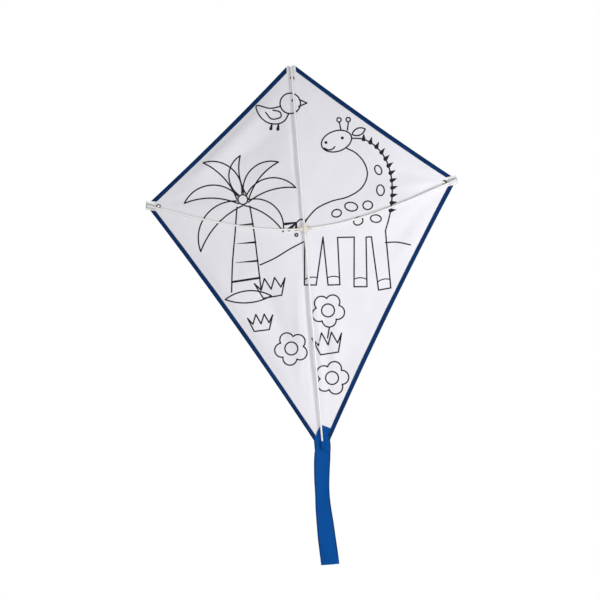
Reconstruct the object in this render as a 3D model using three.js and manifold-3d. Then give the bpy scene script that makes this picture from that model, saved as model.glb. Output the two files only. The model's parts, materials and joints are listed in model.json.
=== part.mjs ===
// A flat diamond kite: a cloth sail with bound edges, held open by an upright spine and a bowed
// cross spar, with one ribbon tail.
//
// Units are millimetres. The origin is the crossing of the two sticks. With the sticks facing you,
// +X is to the right, +Z is up and +Y points away from you, through the sail.
//
// Front to back the layers are: pocket flap, sticks, rivet heads, sail, back tab, rivet washers.

import * as THREE from 'three';
import { mergeVertices } from 'three/addons/utils/BufferGeometryUtils.js';
import Module from 'manifold-3d';

const wasm = await Module();
wasm.setup();

// ---------------------------------------------------------------- driving dimensions

// Sail outline
const TOP_Z = 304; // top corner above the crossing, cut off square inside its pocket
const TOP_HALF = 8;
const TIP_X = 290; // side corners left and right of the crossing
const TIP_Z = 68; // side corners above the crossing
const FOOT_Z = -396; // short bottom edge that the tail is sewn to
const FOOT_HALF = 14.5;
const UPPER_HOLLOW = 3; // how far the middle of each upper edge curves in
const LOWER_HOLLOW = 5;

// Layers, as y from front to back
const GAP = 0.3; // clearance between pieces that touch on the real kite
const SAIL = [3.9, 4.5];
const SLOT = [SAIL[0] - GAP, SAIL[1] + GAP]; // room left for the sail inside a fold
const BINDING = [3.1, 5.3];
const BACK_TAB = [SLOT[1], 5.4];
const FLAP = [-3.4, SLOT[0]]; // the flap's tunnel over the stick, down to the sail
const FLAP_BRIM = [3.1, SLOT[0]]; // the flap beside the stick, flat on the sail

// Edge binding: a tape folded over the sail's edge
const BINDING_WIDTH = 8;
const BINDING_FOLD = 0.7; // thickness of the fold at the edge
const SAIL_INSET = BINDING_FOLD + GAP;

// Sticks
const STICK_RADIUS = 1.75;
const BORE_RADIUS = STICK_RADIUS + GAP;
const CAP_RADIUS = 2.6;
const CAP_LENGTH = 9.5;
const CAP_END = 0.6; // thickness of a cap's closed end
const TUNNEL_RADIUS = CAP_RADIUS + GAP;
const TUNNEL_HALF = 3.5; // half the outer width of a pocket's tunnel
const SPINE_TOP = 302.8;
const SPINE_BOTTOM = -408.3;
const SPAR_START = 8.6;
const SPAR_END = 284;

// Corner pockets: a tape folded over each corner along the corner's bisector
const TAPE_HALF = 8.5;
const TAPE_FOLD = [-0.8, -0.2]; // the fold's wall, measured inward from the corner
const FLAP_LENGTH = 14;
const TAB_LENGTH = 34;
const TOP_TAB_END = TOP_Z - TAB_LENGTH;
const RIVET_INSET = 23;

// Rivets
const RIVET_HEAD = { radius: 4.8, front: 2.05, rim: 3.3, back: 3.6 };
const SHANK_RADIUS = 1.2;
const SHANK_END = 6.6;
const RIVET_HOLE = SHANK_RADIUS + GAP;
const WASHER = { radius: 4, front: 5.7, back: 6.4 };

// Connector at the crossing: a soft hub with a flexible arm to each half of the spar
const HUB = { half: 3, depth: 2.9, height: 11 };
const ARM = { neck: 4.8, socket: 7.8, end: 13, radius: 2.9 };
const NECK = { height: 4, depth: 1.1 };

// The wings fold forward along two lines beside the spine
const FOLD_X = 4.5;
const CENTRE_HALF = FOLD_X - 0.1; // the strip of sail that stays with the spine
const PANEL_INNER = FOLD_X + GAP; // where a wing's panel begins

// Eyelet for the flying line, beside the crossing
const EYELET = { x: -16, z: -10, hole: 0.9, barrel: 1.9, flange: 4, back: 3.2, rim: 0.6 };

// Tail: a pocket that holds the spine's foot, then a ribbon in two lengths and a hem
const POCKET_TOP = -366;
const POCKET_BOTTOM = -412;
const POCKET_FACE = [2.7, 5.5];
const POCKET_HALF = 15;
const RIBBON_HALF = 17;
const RIBBON = [3.7, 4.7];
const UPPER_RIBBON = [-416, -518.5];
const LOWER_RIBBON = [-521.5, -611.7];
const HEM = [-612, -627];
const HEM_LAYERS = [3.2, 5.2];

// Facets
const STICK_SIDES = 12;
const ROUND_SIDES = 24;
const EDGE_STEPS = 14;
const SPAR_STEPS = 36;
const DOME_STEPS = 6;
const RIBBON_STEPS = 6;

// Cutting shapes run past what they cut, and parts that join run into each other
const OVERRUN = 6;
const WELD = 0.2;
const HOLE_LENGTH = 20;
const THROUGH_SAIL = [SAIL[0] - 1, SAIL[1] + 1];
const THROUGH_ALL = [-5, 10];
const ACROSS_FOOT = [-60, 60];

// ---------------------------------------------------------------- materials

function material(color, roughness, metalness = 0) {
  return new THREE.MeshStandardMaterial({ color, roughness, metalness });
}

const CLOTH = material(0xe6e6ec, 0.85);
const NAVY_TAPE = material(0x16386e, 0.8);
const BLUE_RIBBON = material(0x054b91, 0.75);
const FIBREGLASS = material(0xf0f0ea, 0.45);
const VINYL = material(0xe8e6e0, 0.5);
const CREAM_VINYL = material(0xe2d9c4, 0.6);
const RIVET_METAL = material(0xc9cacc, 0.25, 1);
const BLACK_PLASTIC = material(0x151515, 0.5);

// ---------------------------------------------------------------- solids

// A closed three.js geometry as a solid that can be cut and joined
function solid(geometry) {
  const bare = geometry.index ? geometry.toNonIndexed() : geometry.clone();
  bare.deleteAttribute('normal');
  bare.deleteAttribute('uv');
  const merged = mergeVertices(bare, 1e-4);
  return new wasm.Manifold(new wasm.Mesh({
    numProp: 3,
    vertProperties: new Float32Array(merged.attributes.position.array),
    triVerts: new Uint32Array(merged.index.array),
  }));
}

function geometryOf(body) {
  const mesh = body.getMesh();
  const geometry = new THREE.BufferGeometry();
  geometry.setAttribute('position', new THREE.BufferAttribute(mesh.vertProperties, 3));
  geometry.setIndex(new THREE.BufferAttribute(mesh.triVerts, 1));
  geometry.computeVertexNormals();
  return geometry;
}

// A flat outline of [x, z] points, thickened between two depths
function plate(points, [front, back]) {
  const shape = new THREE.Shape(points.map(([x, z]) => new THREE.Vector2(x, z)));
  const geometry = new THREE.ExtrudeGeometry(shape, { depth: back - front, bevelEnabled: false });
  geometry.rotateX(Math.PI / 2);
  geometry.translate(0, back, 0);
  return solid(geometry);
}

function box([left, right], [front, back], [low, high]) {
  return plate([[left, low], [right, low], [right, high], [left, high]], [front, back]);
}

// A straight round bar in the plane of the sticks
function bar([x0, z0], [x1, z1], radius, sides = STICK_SIDES) {
  const dx = x1 - x0;
  const dz = z1 - z0;
  const geometry = new THREE.CylinderGeometry(radius, radius, Math.hypot(dx, dz), sides);
  geometry.rotateX(Math.PI / 2);
  geometry.rotateY(Math.atan2(dx, dz));
  geometry.translate((x0 + x1) / 2, 0, (z0 + z1) / 2);
  return solid(geometry);
}

// A round hole straight through the layers
function hole([x, z], radius) {
  const geometry = new THREE.CylinderGeometry(radius, radius, HOLE_LENGTH, ROUND_SIDES);
  geometry.translate(x, 0, z);
  return solid(geometry);
}

// A profile of [radius, y] points turned about a line through [x, z]
function turned(profile, [x, z]) {
  const points = profile.map(([radius, y]) => new THREE.Vector2(radius, y));
  const geometry = new THREE.LatheGeometry(points, ROUND_SIDES);
  geometry.translate(x, 0, z);
  return geometry;
}

// ---------------------------------------------------------------- edges and corners

// One edge of the sail, from a corner to the next, curving in by its hollow
function edgeCurve(start, end, hollow) {
  const from = new THREE.Vector2(...start);
  const to = new THREE.Vector2(...end);
  const inward = inwardNormal(to.clone().sub(from), from);
  const control = from.clone().add(to).multiplyScalar(0.5).addScaledVector(inward, 2 * hollow);
  return new THREE.QuadraticBezierCurve(from, control, to);
}

// The unit normal of a direction that points to the crossing's side of the edge
function inwardNormal(direction, from) {
  const normal = new THREE.Vector2(-direction.y, direction.x).normalize();
  return normal.dot(from) > 0 ? normal.negate() : normal;
}

// The strip along an edge between two distances inward from it
function edgeStrip(curve, near, far, overrun = 0) {
  const outer = [];
  const inner = [];
  for (let step = 0; step <= EDGE_STEPS; step++) {
    const t = step / EDGE_STEPS;
    const point = curve.getPoint(t);
    const tangent = curve.getTangent(t);
    const inward = inwardNormal(tangent, point);
    const end = step === 0 ? -overrun : step === EDGE_STEPS ? overrun : 0;
    point.addScaledVector(tangent, end);
    const a = point.clone().addScaledVector(inward, near);
    const b = point.clone().addScaledVector(inward, far);
    outer.push([a.x, a.y]);
    inner.unshift([b.x, b.y]);
  }
  return outer.concat(inner);
}

function upperEdge(side) {
  return edgeCurve([side * TOP_HALF, TOP_Z], [side * TIP_X, TIP_Z], UPPER_HOLLOW);
}

function lowerEdge(side) {
  return edgeCurve([side * TIP_X, TIP_Z], [side * FOOT_HALF, FOOT_Z], LOWER_HOLLOW);
}

// A corner's own axes: distance inward along its bisector, and across it
function corner(tip, inward, stickEnd, stickInward) {
  const across = [-inward[1], inward[0]];
  const place = (s, v) => [
    tip[0] + inward[0] * s + across[0] * v,
    tip[1] + inward[1] * s + across[1] * v,
  ];
  return { place, stickEnd, stickInward, rivet: place(RIVET_INSET, 0) };
}

function topCorner() {
  return corner([0, TOP_Z], [0, -1], [0, SPINE_TOP], [0, -1]);
}

function sideCorner(side) {
  const upper = Math.atan2(TOP_Z - TIP_Z, TIP_X - TOP_HALF);
  const lower = Math.atan2(TIP_Z - FOOT_Z, TIP_X - FOOT_HALF);
  const bisector = (lower - upper) / 2;
  const inward = [-side * Math.cos(bisector), -Math.sin(bisector)];
  const rise = sparSlope(SPAR_END);
  const stickInward = [-side / Math.hypot(1, rise), -rise / Math.hypot(1, rise)];
  return corner([side * TIP_X, TIP_Z], inward, [side * SPAR_END, sparHeight(SPAR_END)], stickInward);
}

// A rectangle in a corner's axes
function cornerPlate({ place }, [near, far], half, layers) {
  return plate([place(near, -half), place(far, -half), place(far, half), place(near, half)], layers);
}

// ---------------------------------------------------------------- sail

// The outline that the bindings' outer edges follow, one side of the kite
function wingOutline(side) {
  const upper = upperEdge(side).getPoints(EDGE_STEPS);
  const lower = lowerEdge(side).getPoints(EDGE_STEPS).slice(1);
  const points = upper.concat(lower).map((point) => [point.x, point.y]);
  points.push([0, FOOT_Z], [0, TOP_Z]);
  return points;
}

// The cloth of one side, drawn back from the fold of its bindings
function sailSide(side) {
  let cloth = plate(wingOutline(side), SAIL);
  for (const edge of [upperEdge(side), lowerEdge(side)]) {
    cloth = cloth.subtract(plate(edgeStrip(edge, -OVERRUN, SAIL_INSET, OVERRUN), THROUGH_SAIL));
  }
  return cloth;
}

function sailPanel(side) {
  const low = FOOT_Z - OVERRUN;
  const high = TOP_Z + OVERRUN;
  const middle = box([-PANEL_INNER, PANEL_INNER], THROUGH_SAIL, [low, high]);
  const head = box([-TAPE_HALF - GAP, TAPE_HALF + GAP], THROUGH_SAIL, [TOP_TAB_END - GAP, high]);
  const foot = box(ACROSS_FOOT, THROUGH_SAIL, [low, POCKET_TOP + 2 * GAP]);
  let panel = sailSide(side).subtract(middle).subtract(head).subtract(foot);
  panel = panel.subtract(hole(sideCorner(side).rivet, RIVET_HOLE));
  if (side < 0) {
    panel = panel.subtract(hole([EYELET.x, EYELET.z], EYELET.barrel + GAP));
  }
  return geometryOf(panel);
}

function sailCentre() {
  const whole = sailSide(-1).add(sailSide(1));
  const strip = box([-CENTRE_HALF, CENTRE_HALF], THROUGH_SAIL, [POCKET_TOP - WELD, TOP_TAB_END + WELD]);
  const head = box([-TAPE_HALF + GAP, TAPE_HALF - GAP], THROUGH_SAIL, [TOP_TAB_END, TOP_Z - SAIL_INSET]);
  const foot = box(ACROSS_FOOT, THROUGH_SAIL, [FOOT_Z + SAIL_INSET, POCKET_TOP]);
  return geometryOf(whole.intersect(strip.add(head).add(foot)).subtract(hole(topCorner().rivet, RIVET_HOLE)));
}

function binding(edge, pockets) {
  let tape = plate(edgeStrip(edge, 0, BINDING_WIDTH), BINDING);
  tape = tape.subtract(plate(edgeStrip(edge, BINDING_FOLD, BINDING_WIDTH + OVERRUN, OVERRUN), SLOT));
  for (const pocket of pockets) {
    const span = [-OVERRUN, TAB_LENGTH + OVERRUN];
    tape = tape.subtract(cornerPlate(pocket, span, TAPE_HALF + GAP, THROUGH_ALL));
  }
  const foot = box(ACROSS_FOOT, THROUGH_ALL, [FOOT_Z - 3 * OVERRUN, POCKET_TOP + 2 * GAP]);
  return geometryOf(tape.subtract(foot));
}

// ---------------------------------------------------------------- sticks

// The bowed spar is lowest at the crossing and springs up to the side corners, like a bent beam
function sparHeight(x) {
  const t = Math.abs(x) / TIP_X;
  return TIP_Z * (3 * t ** 2 - t ** 3) / 2;
}

function sparSlope(x) {
  const t = Math.abs(x) / TIP_X;
  return TIP_Z / TIP_X * (3 * t - 1.5 * t ** 2);
}

class SparCurve extends THREE.Curve {
  constructor(side) {
    super();
    this.side = side;
  }

  getPoint(t, target = new THREE.Vector3()) {
    const x = SPAR_START + (SPAR_END - SPAR_START) * t;
    return target.set(this.side * x, 0, sparHeight(x));
  }
}

function spar(side) {
  const section = new THREE.Shape();
  section.absarc(0, 0, STICK_RADIUS, 0, 2 * Math.PI);
  return new THREE.ExtrudeGeometry(section, {
    steps: SPAR_STEPS,
    curveSegments: STICK_SIDES / 2,
    extrudePath: new SparCurve(side),
  });
}

// A soft cap over a stick's end
function stickCap({ stickEnd, stickInward }) {
  const at = (distance) => [
    stickEnd[0] + stickInward[0] * distance,
    stickEnd[1] + stickInward[1] * distance,
  ];
  const outside = bar(at(-GAP - CAP_END), at(CAP_LENGTH), CAP_RADIUS);
  return geometryOf(outside.subtract(bar(at(-GAP), at(CAP_LENGTH + OVERRUN), BORE_RADIUS)));
}

// ---------------------------------------------------------------- pockets and rivets

function cornerPocket(at) {
  const start = -2 * OVERRUN;
  const reach = TAB_LENGTH + OVERRUN;
  const along = (distance, across) => [
    at.stickEnd[0] + at.stickInward[0] * distance - at.stickInward[1] * across,
    at.stickEnd[1] + at.stickInward[1] * distance + at.stickInward[0] * across,
  ];
  const tunnelOutline = [
    along(start, -TUNNEL_HALF),
    along(reach, -TUNNEL_HALF),
    along(reach, TUNNEL_HALF),
    along(start, TUNNEL_HALF),
  ];
  const flapArea = cornerPlate(at, [TAPE_FOLD[0], FLAP_LENGTH], TAPE_HALF, FLAP);
  const tunnel = plate(tunnelOutline, FLAP).intersect(flapArea);
  const brim = cornerPlate(at, [TAPE_FOLD[0], FLAP_LENGTH], TAPE_HALF, FLAP_BRIM);
  const fold = cornerPlate(at, TAPE_FOLD, TAPE_HALF, [FLAP[0], BACK_TAB[1]]);
  const tab = cornerPlate(at, [TAPE_FOLD[0], TAB_LENGTH], TAPE_HALF, BACK_TAB);
  const bore = bar(along(-GAP - CAP_END - GAP, 0), along(reach, 0), TUNNEL_RADIUS, ROUND_SIDES);
  const pocket = tunnel.add(brim).subtract(bore).add(fold).add(tab);
  return geometryOf(pocket.subtract(hole(at.rivet, RIVET_HOLE)));
}

function rivetCap(at) {
  const profile = [];
  for (let step = 0; step <= DOME_STEPS; step++) {
    const angle = step / DOME_STEPS * Math.PI / 2;
    const radius = RIVET_HEAD.radius * Math.sin(angle);
    profile.push([radius, RIVET_HEAD.rim - (RIVET_HEAD.rim - RIVET_HEAD.front) * Math.cos(angle)]);
  }
  profile.push([RIVET_HEAD.radius, RIVET_HEAD.back]);
  profile.push([SHANK_RADIUS, RIVET_HEAD.back]);
  profile.push([SHANK_RADIUS, SHANK_END]);
  profile.push([0, SHANK_END]);
  return turned(profile, at.rivet);
}

function rivetWasher(at) {
  return turned([
    [RIVET_HOLE, WASHER.front],
    [WASHER.radius, WASHER.front],
    [WASHER.radius, WASHER.back],
    [RIVET_HOLE, WASHER.back],
    [RIVET_HOLE, WASHER.front],
  ], at.rivet);
}

function towEyelet() {
  return turned([
    [EYELET.hole, SLOT[0] - EYELET.rim],
    [EYELET.flange, SLOT[0] - EYELET.rim],
    [EYELET.flange, SLOT[0]],
    [EYELET.barrel, SLOT[0]],
    [EYELET.barrel, SLOT[1]],
    [EYELET.back, SLOT[1]],
    [EYELET.back, SLOT[1] + EYELET.rim],
    [EYELET.hole, SLOT[1] + EYELET.rim],
    [EYELET.hole, SLOT[0] - EYELET.rim],
  ], [EYELET.x, EYELET.z]);
}

// ---------------------------------------------------------------- connector

function connectorHub() {
  const block = box([-HUB.half, HUB.half], [-HUB.depth, HUB.depth], [-HUB.height, HUB.height]);
  const bore = bar([0, -HUB.height - OVERRUN], [0, HUB.height + OVERRUN], BORE_RADIUS);
  return geometryOf(block.subtract(bore));
}

function connectorArm(side) {
  const across = [side * ARM.neck, side * (ARM.socket + WELD)].sort((a, b) => a - b);
  const neck = box(across, [-NECK.depth, NECK.depth], [-NECK.height, NECK.height]);
  const socket = bar([side * ARM.socket, 0], [side * ARM.end, 0], ARM.radius, ROUND_SIDES);
  const bore = bar([side * (SPAR_START - GAP), 0], [side * (ARM.end + OVERRUN), 0], BORE_RADIUS);
  return geometryOf(neck.add(socket).subtract(bore));
}

// ---------------------------------------------------------------- tail

// The ribbon's end sewn over the sail's foot, with a tunnel for the spine's lower end
function tailPocket() {
  const slope = (TIP_X - FOOT_HALF) / (TIP_Z - FOOT_Z);
  const topHalf = FOOT_HALF + (POCKET_TOP - FOOT_Z) * slope;
  const half = (inset) => [
    [-topHalf + inset, POCKET_TOP + inset],
    [-POCKET_HALF + inset, FOOT_Z],
    [POCKET_HALF - inset, FOOT_Z],
    [topHalf - inset, POCKET_TOP + inset],
  ];
  const outline = [...half(0)];
  outline.splice(2, 0, [-POCKET_HALF, POCKET_BOTTOM], [POCKET_HALF, POCKET_BOTTOM]);
  const patch = plate(outline, POCKET_FACE);
  const slotOutline = half(BINDING_FOLD).map(([x, z]) => [x, z === FOOT_Z ? z + BINDING_FOLD : z]);
  const tunnel = box([-TUNNEL_HALF, TUNNEL_HALF], [FLAP[0], POCKET_FACE[1]], [POCKET_BOTTOM, FOOT_Z]);
  const bore = bar([0, SPINE_BOTTOM - GAP - CAP_END - GAP], [0, FOOT_Z + WELD], TUNNEL_RADIUS, ROUND_SIDES);
  return geometryOf(patch.subtract(plate(slotOutline, SLOT)).add(tunnel).subtract(bore));
}

// The middle line of the hanging ribbon drifts to the left and comes back a little
const DRIFT = new THREE.SplineCurve([
  new THREE.Vector2(UPPER_RIBBON[0], -1.2),
  new THREE.Vector2(-450, -4.5),
  new THREE.Vector2(-506, -7.8),
  new THREE.Vector2(-560, -7),
  new THREE.Vector2(HEM[1], -4.1),
]);

function drift(z) {
  const t = (z - UPPER_RIBBON[0]) / (HEM[1] - UPPER_RIBBON[0]);
  return DRIFT.getPoint(t).y;
}

function ribbon([top, bottom], layers) {
  const left = [];
  const right = [];
  for (let step = 0; step <= RIBBON_STEPS; step++) {
    const z = top + (bottom - top) * step / RIBBON_STEPS;
    left.push([drift(z) - RIBBON_HALF, z]);
    right.unshift([drift(z) + RIBBON_HALF, z]);
  }
  return geometryOf(plate(left.concat(right), layers));
}

// ---------------------------------------------------------------- assembly

const kite = new THREE.Group();

function add(name, geometry, look) {
  const mesh = new THREE.Mesh(geometry, look);
  mesh.name = name;
  kite.add(mesh);
}

const top = topCorner();
const foot = { stickEnd: [0, SPINE_BOTTOM], stickInward: [0, 1] };

add('spine_rod', geometryOf(bar([0, SPINE_BOTTOM], [0, SPINE_TOP], STICK_RADIUS)), FIBREGLASS);
add('spine_top_cap', stickCap(top), VINYL);
add('spine_bottom_cap', stickCap(foot), VINYL);
add('connector_hub', connectorHub(), CREAM_VINYL);
add('sail_centre', sailCentre(), CLOTH);
add('top_corner_pocket', cornerPocket(top), VINYL);
add('top_rivet_cap', rivetCap(top), RIVET_METAL);
add('top_rivet_washer', rivetWasher(top), RIVET_METAL);
add('tail_pocket', tailPocket(), BLUE_RIBBON);

for (const [wing, side] of [['left', -1], ['right', 1]]) {
  const tip = sideCorner(side);
  add(`sail_${wing}`, sailPanel(side), CLOTH);
  add(`${wing}_spar`, spar(side), FIBREGLASS);
  add(`${wing}_spar_cap`, stickCap(tip), VINYL);
  add(`${wing}_connector_arm`, connectorArm(side), CREAM_VINYL);
  add(`${wing}_corner_pocket`, cornerPocket(tip), VINYL);
  add(`${wing}_rivet_cap`, rivetCap(tip), RIVET_METAL);
  add(`${wing}_rivet_washer`, rivetWasher(tip), RIVET_METAL);
  add(`upper_${wing}_binding`, binding(upperEdge(side), [top, tip]), NAVY_TAPE);
  add(`lower_${wing}_binding`, binding(lowerEdge(side), [tip]), NAVY_TAPE);
}

add('tow_eyelet', towEyelet(), BLACK_PLASTIC);
add('tail_ribbon_upper', ribbon(UPPER_RIBBON, RIBBON), BLUE_RIBBON);
add('tail_ribbon_lower', ribbon(LOWER_RIBBON, RIBBON), BLUE_RIBBON);
add('tail_end_hem', ribbon(HEM, HEM_LAYERS), BLUE_RIBBON);

export default kite;
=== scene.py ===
"""A flat diamond kite: a printed cloth sail with bound edges, a spine, a bowed spar and a ribbon tail.

Shapes are worked out in millimetres, in the CAD frame: x to the right, z up, y away from the viewer
through the sail. new_piece() turns them into metres.
"""

import json
import math

import bmesh
import bpy
import numpy as np
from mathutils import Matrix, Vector
from mathutils.bvhtree import BVHTree
from mathutils.geometry import delaunay_2d_cdt

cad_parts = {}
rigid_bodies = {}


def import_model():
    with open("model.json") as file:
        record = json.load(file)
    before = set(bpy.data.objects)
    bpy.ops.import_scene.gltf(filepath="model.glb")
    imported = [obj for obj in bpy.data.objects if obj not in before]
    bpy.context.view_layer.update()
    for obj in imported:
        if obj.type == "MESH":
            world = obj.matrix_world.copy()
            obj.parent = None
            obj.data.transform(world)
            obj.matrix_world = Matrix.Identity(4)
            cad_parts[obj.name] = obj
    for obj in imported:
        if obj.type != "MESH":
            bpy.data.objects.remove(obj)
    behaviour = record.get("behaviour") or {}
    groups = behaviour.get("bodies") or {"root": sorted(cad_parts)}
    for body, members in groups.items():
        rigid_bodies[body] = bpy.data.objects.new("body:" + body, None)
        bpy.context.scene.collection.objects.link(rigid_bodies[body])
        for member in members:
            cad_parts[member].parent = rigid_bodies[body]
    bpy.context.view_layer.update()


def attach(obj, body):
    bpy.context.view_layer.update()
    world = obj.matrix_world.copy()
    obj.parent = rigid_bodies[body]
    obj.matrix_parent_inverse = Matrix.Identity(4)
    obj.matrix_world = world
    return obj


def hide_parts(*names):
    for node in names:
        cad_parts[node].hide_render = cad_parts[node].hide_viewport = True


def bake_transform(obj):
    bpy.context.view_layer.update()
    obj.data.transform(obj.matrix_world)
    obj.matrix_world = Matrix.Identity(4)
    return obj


for leftover in list(bpy.data.objects):
    bpy.data.objects.remove(leftover)

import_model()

MM = 0.001

# ---------------------------------------------------------------- sizes

# Sail outline, as in the CAD frame
TOP = (8.0, 304.0)
TIP = (290.0, 68.0)
FOOT = (14.5, -396.0)
UPPER_HOLLOW = 3.0
LOWER_HOLLOW = 5.0
SAIL_Y = 4.2
SAIL_THICKNESS = 0.3
BINDING_WIDTH = 8.0

# The wings fold about x = 4.5 on each side. A fold band's height and its slant towards the corners,
# chosen so that their pockets stay flat, are given here; the sail is cut at these heights.
HEAD_Z = 230.0
HEAD_SLANT = -0.0081
HEEL_Z = -280.0
HEEL_SLANT = 0.0065
# Each zone's name, lowest and highest z, and the height and slant of its fold band
ZONES = (
    ("head", HEAD_Z, math.inf, HEAD_Z, HEAD_SLANT),
    ("middle", HEEL_Z, HEAD_Z, 0.0, 0.0),
    ("heel", -math.inf, HEEL_Z, HEEL_Z, HEEL_SLANT),
)
SIDES = ((-1, "left"), (1, "right"))

STICK_RADIUS = 1.75
SPINE_LOW = -407.0
SPINE_HIGH = 301.4
SPAR_END = 284.0
POCKET_HALF = 8.5
RIVET_INSET = 23.0
EYELET = (-16.0, -10.0)
EYELET_BORE = 0.9

FRONT_Y = 3.3
SEAM_INSET = 6.3

RIBBON_Y = 4.2
RIBBON_JOIN = -467.0
HEM_TOP = -612.0
PATCH_BOTTOM = -393.0
# The heights, in metres, of the bands at the ribbon's two hinges
SWING_BAND = (-0.408, -0.430)
CURL_BAND = (-0.506, -0.534)
RIBBON_END = -627.0


# ---------------------------------------------------------------- small maths

def smooth(low, high, value):
    """Rises from 0 at low to 1 at high with flat ends."""
    t = np.clip((np.asarray(value, float) - low) / (high - low), 0, 1)
    return t * t * (3 - 2 * t)


def unit(vector):
    vector = np.asarray(vector, float)
    return vector / np.linalg.norm(vector, axis=-1, keepdims=True)


def spline(points, per_span=12):
    """A smooth line through points, by Catmull-Rom spans."""
    points = np.array(points, float)
    points = np.vstack([2 * points[0] - points[1], points, 2 * points[-1] - points[-2]])
    spans = []
    for a, b, c, d in zip(points, points[1:], points[2:], points[3:]):
        t = np.linspace(0, 1, per_span, endpoint=False)[:, None]
        spans.append(0.5 * (2 * b + (c - a) * t + (2 * a - 5 * b + 4 * c - d) * t ** 2
                            + (3 * b - a - 3 * c + d) * t ** 3))
    spans.append(points[-2][None])
    return np.vstack(spans)


def resample(line, step):
    """The same line with even steps of about the length step."""
    line = np.asarray(line, float)
    along = np.concatenate([[0], np.cumsum(np.linalg.norm(np.diff(line, axis=0), axis=1))])
    count = max(2, round(along[-1] / step) + 1)
    at = np.linspace(0, along[-1], count)
    return np.column_stack([np.interp(at, along, line[:, k]) for k in range(line.shape[1])])


class Edge:
    """One hollow edge of the sail between two corners of the right side, or of the left if side is -1."""

    def __init__(self, start, end, hollow, side):
        mirror = np.array([side, 1.0])
        start = np.array(start) * mirror
        end = np.array(end) * mirror
        normal = unit([start[1] - end[1], end[0] - start[0]])
        if normal @ start > 0:
            normal = -normal
        self.start, self.end = start, end
        self.control = (start + end) / 2 + normal * 2 * hollow

    def at(self, t):
        """Points and inward normals at shares t of the curve."""
        t = np.asarray(t, float)[:, None]
        point = (1 - t) ** 2 * self.start + 2 * t * (1 - t) * self.control + t ** 2 * self.end
        along = unit((1 - t) * (self.control - self.start) + t * (self.end - self.control))
        inward = np.column_stack([-along[:, 1], along[:, 0]])
        inward[(inward * point).sum(1) > 0] *= -1
        return point, inward, along


def upper_edge(side, shrink=0.0):
    top = (TOP[0] - shrink * 0.6, TOP[1] - shrink)
    return Edge(top, (TIP[0] - 1.9 * shrink, TIP[1]), UPPER_HOLLOW, side)


def lower_edge(side, shrink=0.0):
    foot = (FOOT[0] - shrink * 0.6, FOOT[1] + shrink)
    return Edge((TIP[0] - 1.9 * shrink, TIP[1]), foot, LOWER_HOLLOW, side)


def spar_height(x):
    """The bowed spar's z at a distance x from the spine."""
    t = np.abs(x) / TIP[0]
    return TIP[1] * (3 * t ** 2 - t ** 3) / 2


def spar_end(side):
    """The end of a spar in x and z, and its direction inward from there."""
    slope = float(spar_height(SPAR_END) - spar_height(SPAR_END - 1))
    return np.array([side * SPAR_END, float(spar_height(SPAR_END))]), unit([-side, -slope])


# ---------------------------------------------------------------- meshes

def link(mesh, name):
    piece = bpy.data.objects.new(name, mesh)
    bpy.context.scene.collection.objects.link(piece)
    return piece


def new_piece(name, vertices, faces, uv=None, sharp=None):
    """A mesh object from points in millimetres. uv gives each vertex's place on the cloth."""
    mesh = bpy.data.meshes.new(name)
    mesh.from_pydata((np.asarray(vertices, float) * MM).tolist(), [], [tuple(map(int, f)) for f in faces])
    mesh.shade_smooth()
    if sharp is not None:
        mesh.set_sharp_from_angle(angle=math.radians(sharp))
    if uv is not None:
        layer = mesh.uv_layers.new(name="cloth")
        corner = np.zeros(len(mesh.loops), int)
        mesh.loops.foreach_get("vertex_index", corner)
        layer.data.foreach_set("uv", (np.asarray(uv, float)[corner] * MM).ravel())
    mesh.update()
    return link(mesh, name)


def grid_faces(rows, columns, wrap_rows=False, wrap_columns=False):
    """Quads between neighbouring points of a rows by columns grid."""
    faces = []
    for i in range(rows if wrap_rows else rows - 1):
        for j in range(columns if wrap_columns else columns - 1):
            i2, j2 = (i + 1) % rows, (j + 1) % columns
            faces.append((i * columns + j, i * columns + j2, i2 * columns + j2, i2 * columns + j))
    return faces


def bar_faces(rows, columns):
    """Quads round a bar made of rings, and a face over each end."""
    ends = [tuple(range(columns)), tuple(range((rows - 1) * columns, rows * columns))]
    return grid_faces(rows, columns, wrap_columns=True) + ends


def turned(name, profile, centre, sides=48, sharp=40):
    """A closed profile of (radius, y) points turned about a line through centre, a place in x and z."""
    vertices, rings = [], []
    for radius, y in profile:
        if radius == 0:
            rings.append([len(vertices)])
            vertices.append((centre[0], y, centre[1]))
            continue
        ring = []
        for k in range(sides):
            angle = 2 * math.pi * k / sides
            ring.append(len(vertices))
            vertices.append((centre[0] + radius * math.cos(angle), y, centre[1] + radius * math.sin(angle)))
        rings.append(ring)
    faces = []
    pairs = list(zip(rings, rings[1:]))
    if len(rings[0]) > 1:
        pairs.append((rings[-1], rings[0]))
    for a, b in pairs:
        for k in range(sides):
            k2 = (k + 1) % sides
            if len(a) == 1 and len(b) > 1:
                faces.append((a[0], b[k2], b[k]))
            elif len(b) == 1 and len(a) > 1:
                faces.append((a[k], a[k2], b[0]))
            elif len(a) > 1:
                faces.append((a[k], a[k2], b[k2], b[k]))
    piece = new_piece(name, vertices, faces)
    face_outward(piece, sharp)
    return piece


def face_outward(piece, sharp=None):
    mesh = piece.data
    work = bmesh.new()
    work.from_mesh(mesh)
    bmesh.ops.recalc_face_normals(work, faces=work.faces)
    work.to_mesh(mesh)
    work.free()
    mesh.shade_smooth()
    if sharp is not None:
        mesh.set_sharp_from_angle(angle=math.radians(sharp))
    mesh.update()


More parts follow.
